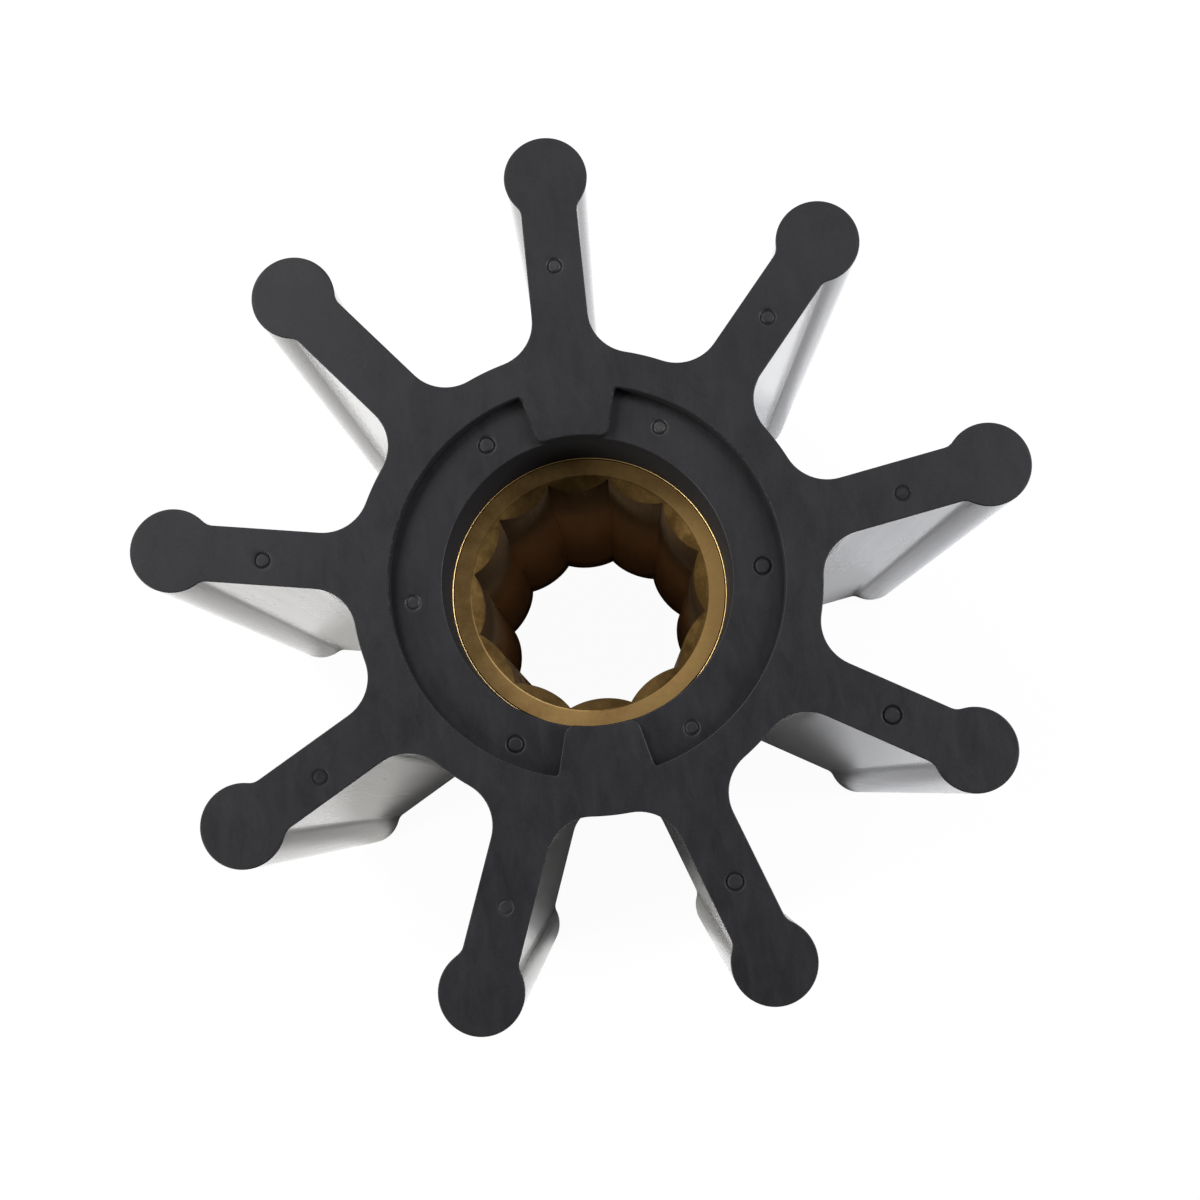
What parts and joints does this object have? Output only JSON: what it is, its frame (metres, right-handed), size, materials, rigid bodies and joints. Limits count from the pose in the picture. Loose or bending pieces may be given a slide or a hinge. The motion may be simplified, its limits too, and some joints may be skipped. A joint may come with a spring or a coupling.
{
  "type": "pump impeller",
  "caption": "Flexible rubber pump impeller: straight bulb-tipped blades round a hub that is moulded on a splined brass bush.",
  "frame": {"origin": "on the shaft's axis, at the rear end face, on which the impeller rests", "axes": "+Z along the shaft, from the rear face to the front face with the moulding marks; +Y along the first blade, which a lug on each end face points at; +X to the right when looking at the front face with the first blade up"},
  "size_m": [0.0936, 0.0924, 0.0635],
  "materials": {
    "rubber": "moulded black neoprene, satin end faces and glossier blade walls",
    "brass": "machined brass, dulled and brown inside the bore"
  },
  "bodies": {
    "root": {"rubber_body": "rubber", "hub_insert": "brass"}
  },
  "joints": []
}
